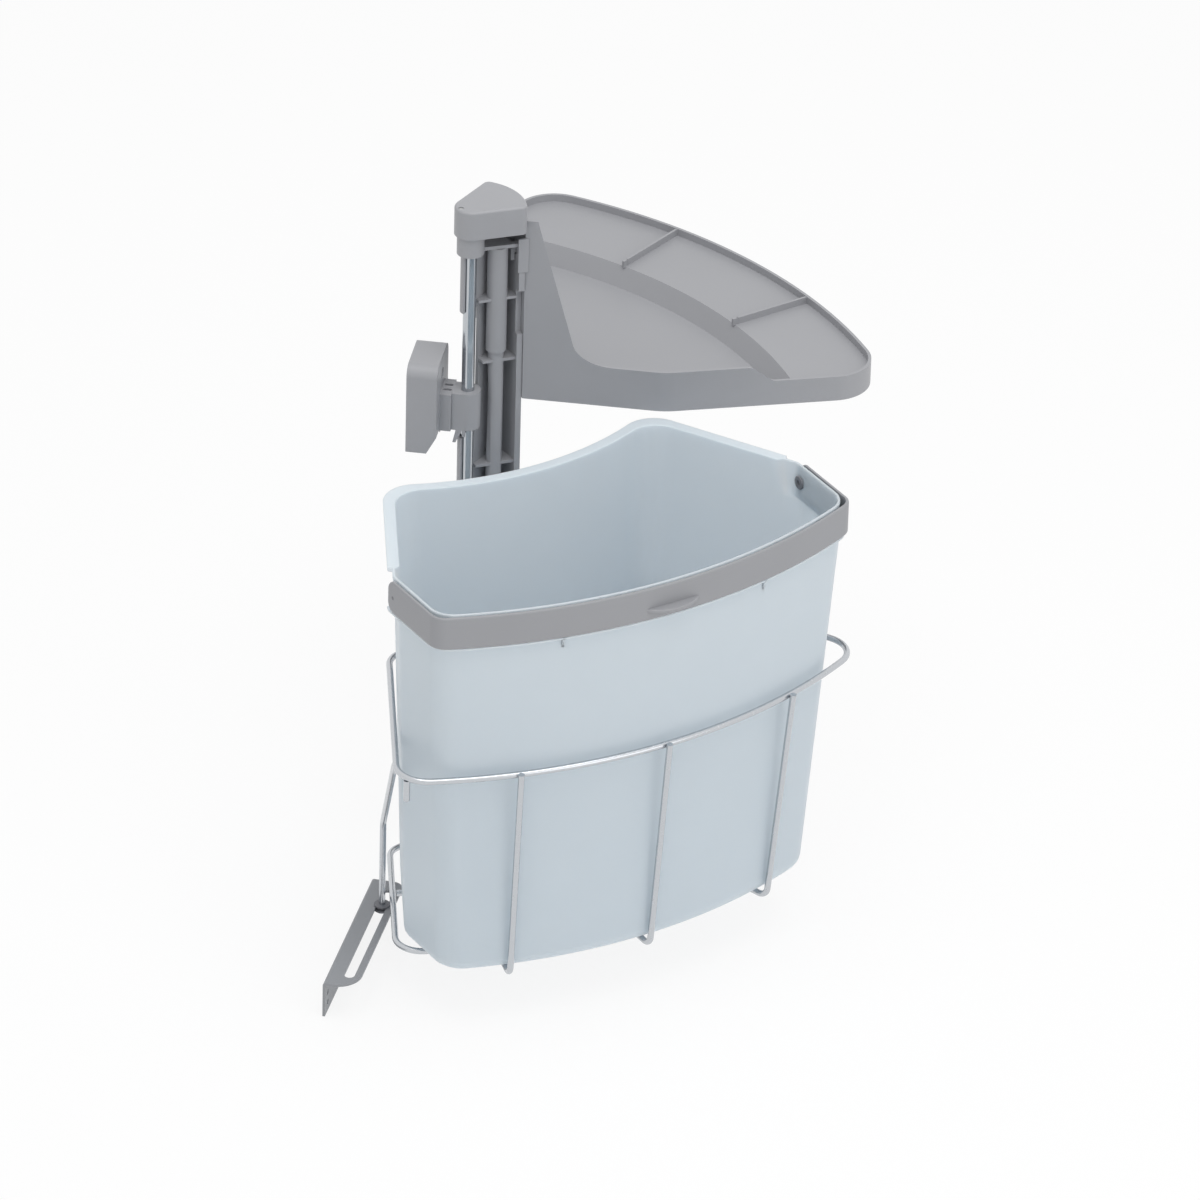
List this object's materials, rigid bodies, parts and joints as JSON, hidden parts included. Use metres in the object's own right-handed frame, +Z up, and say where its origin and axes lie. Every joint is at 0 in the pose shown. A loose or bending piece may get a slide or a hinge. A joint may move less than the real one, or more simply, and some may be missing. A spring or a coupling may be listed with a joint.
{
  "type": "swing-out cabinet bin with tray lid",
  "caption": "Fan-shaped bin in a wire basket that swings out on an upright rod, with a tray lid on a turning column and a slotted door bracket.",
  "frame": {"origin": "on the swivel axis, at the centre of the rod's lower end face", "axes": "+Z up along the swivel axis, +X across the cabinet away from the side wall that holds the post, +Y into the cabinet"},
  "size_m": [0.3731, 0.6395, 0.5565],
  "materials": {
    "bin_plastic": "smooth, pale blue-grey",
    "grey_plastic": "fine satin, mid grey",
    "handle_plastic": "satin, warm mid grey",
    "bush_plastic": "plain, off-white",
    "rod_chrome": "bright",
    "wire_steel": "satin chromed wire",
    "zinc_steel": "zinc plated",
    "bracket_steel": "silver grey powder coat"
  },
  "bodies": {
    "post": {"swivel_rod": "rod_chrome", "upper_wall_bracket": "grey_plastic", "upper_clamp_jaw": "grey_plastic", "lower_wall_bracket": "grey_plastic", "lower_clamp_jaw": "grey_plastic", "wall_screws": "zinc_steel", "basket_collar": "zinc_steel", "column_collar": "zinc_steel", "collar_screws": "zinc_steel"},
    "lid_carrier": {"swing_column": "grey_plastic", "column_cap": "grey_plastic", "cap_screw": "zinc_steel", "upper_column_bush": "bush_plastic", "lower_column_bush": "bush_plastic"},
    "lid": {"tray_lid": "grey_plastic"},
    "basket": {"basket_ring": "wire_steel", "floor_loop": "wire_steel", "front_wires": "wire_steel", "rear_wires": "wire_steel", "cross_wire": "wire_steel", "upper_hub_wire": "wire_steel", "lower_hub_wire": "wire_steel", "upper_basket_hub": "wire_steel", "lower_basket_hub": "wire_steel", "upper_basket_bush": "bush_plastic", "lower_basket_bush": "bush_plastic", "driver_wire": "wire_steel", "ring_peg": "wire_steel"},
    "bin": {"bin_shell": "bin_plastic", "handle_pivots": "grey_plastic"},
    "handle": {"bail_handle": "handle_plastic"},
    "slot_glider": {"slot_glider": "bush_plastic"},
    "door_bracket": {"door_bracket": "bracket_steel"}
  },
  "joints": [
    {"name": "basket_swing", "type": "hinge", "parent": "post", "child": "basket", "pos_m": [0, 0, 0.1], "axis": [0, 0, 1], "range_deg": [0, 97.7]},
    {"name": "lid_swing", "type": "hinge", "parent": "post", "child": "lid_carrier", "pos_m": [0, 0, 0.4], "axis": [0, 0, -1], "range_deg": [0, 96]},
    {"name": "lid_unhook", "type": "slide", "parent": "lid_carrier", "child": "lid", "axis": [0, 0, 1], "range_m": [0, 0.008]},
    {"name": "bin_lift", "type": "slide", "parent": "basket", "child": "bin", "axis": [0, 0, 1], "range_m": [0, 0.35]},
    {"name": "handle_swing", "type": "hinge", "parent": "bin", "child": "handle", "pos_m": [0.13092, -0.15383, 0.3453], "axis": [-0.7615, -0.6481, 0], "range_deg": [0, 100]},
    {"name": "glider_turn", "type": "hinge", "parent": "basket", "child": "slot_glider", "pos_m": [-0.03079, -0.17879, 0.0105], "axis": [0, 0, -1], "range_deg": [0, 4]},
    {"name": "bracket_slide", "type": "slide", "parent": "slot_glider", "child": "door_bracket", "axis": [0.0645, 0.9979, 0], "range_m": [0, 0.0995]}
  ],
  "couplings": [
    {"joint": "glider_turn", "follows": "basket_swing", "ratio": 0.040931},
    {"joint": "bracket_slide", "follows": "basket_swing", "m_per_rad": 0.058293}
  ]
}
